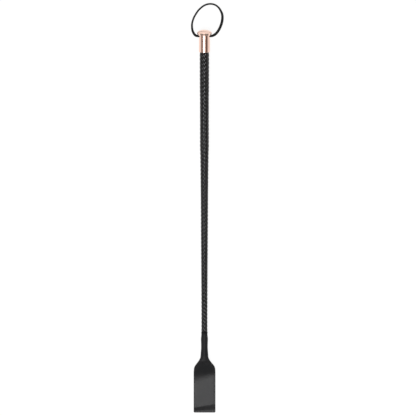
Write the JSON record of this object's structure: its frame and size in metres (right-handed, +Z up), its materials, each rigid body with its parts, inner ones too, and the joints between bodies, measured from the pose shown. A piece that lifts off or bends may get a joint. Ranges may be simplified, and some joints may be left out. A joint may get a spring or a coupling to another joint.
{
  "type": "riding crop",
  "caption": "Riding crop lying flat: polished domed cap with a hanging loop, plaited leather shaft over a tapered rod, and a folded leather flap.",
  "frame": {"origin": "under the middle of the crop, on the surface that it lies on", "axes": "+X along the crop from the cap to the tip of the flap, +Z up from the surface, +Y across"},
  "size_m": [0.6527, 0.0512, 0.024],
  "materials": {
    "rose_gold": "rose gold plate, mirror polished",
    "lace_leather": "smooth, satin",
    "crimp_metal": "plain",
    "fibreglass": "matt, drawn",
    "filler": "wound paper cord",
    "plaited_leather": "plaited strands, satin",
    "thread": "waxed",
    "flap_leather": "smooth, polished"
  },
  "bodies": {
    "crop": {"cap_head": "rose_gold", "ferrule": "rose_gold", "core_rod": "fibreglass", "handle_filler": "filler", "braided_cover": "plaited_leather", "butt_binding": "thread", "tip_binding": "thread", "neck_ring": "thread", "flap_neck": "flap_leather"},
    "loop": {"loop_cord": "lace_leather", "loop_crimp": "crimp_metal"},
    "flap": {"flap_blade": "flap_leather"}
  },
  "joints": [
    {"name": "loop_swing", "type": "hinge", "parent": "crop", "child": "loop", "pos_m": [-0.29565, 0, 0.012], "axis": [0, 1, 0], "range_deg": [-156, 180]},
    {"name": "flap_flex", "type": "hinge", "parent": "crop", "child": "flap", "pos_m": [0.22155, 0, 0.012], "axis": [0, -1, 0], "range_deg": [-55, 55], "stiffness_Nm_per_rad": 0.25, "springref_deg": -4.01}
  ]
}
